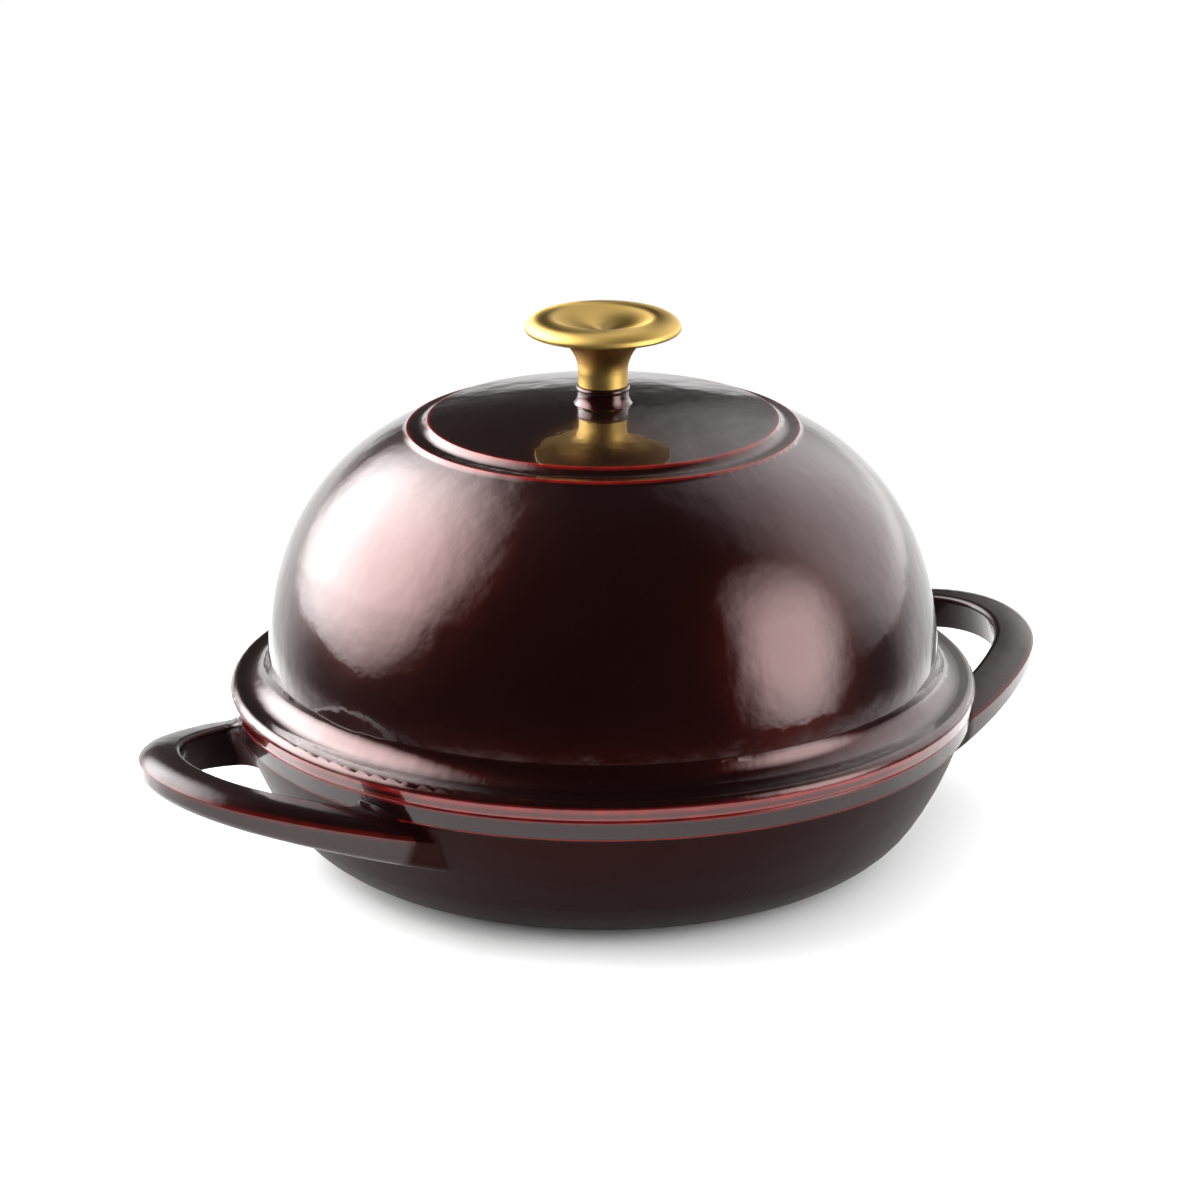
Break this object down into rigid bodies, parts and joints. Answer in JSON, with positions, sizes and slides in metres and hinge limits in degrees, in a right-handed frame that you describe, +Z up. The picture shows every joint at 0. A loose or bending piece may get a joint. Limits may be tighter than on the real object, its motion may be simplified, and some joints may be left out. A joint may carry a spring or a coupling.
{
  "type": "bread pot",
  "caption": "Round cast iron bread pot: shallow pan with two integral loop handles, tall domed lid with stepped crown and a dished brass knob.",
  "frame": {"origin": "centre of the pan's base, on the table", "axes": "+X along the two handles, +Z up through the knob"},
  "size_m": [0.3536, 0.264, 0.1916],
  "materials": {
    "enamelled_iron": "gloss dark oxblood enamel outside, matte black enamel inside",
    "satin_brass": "satin brushed gold",
    "steel": "plain stainless"
  },
  "bodies": {
    "base": {"base_pan": "enamelled_iron"},
    "lid": {"lid_dome": "enamelled_iron", "lid_knob": "satin_brass", "knob_screw": "steel", "flat_washer": "steel", "spring_washer": "steel"}
  },
  "joints": [
    {"name": "lid_lift", "type": "slide", "parent": "base", "child": "lid", "axis": [0, 0, 1], "range_m": [0, 0.2]}
  ]
}
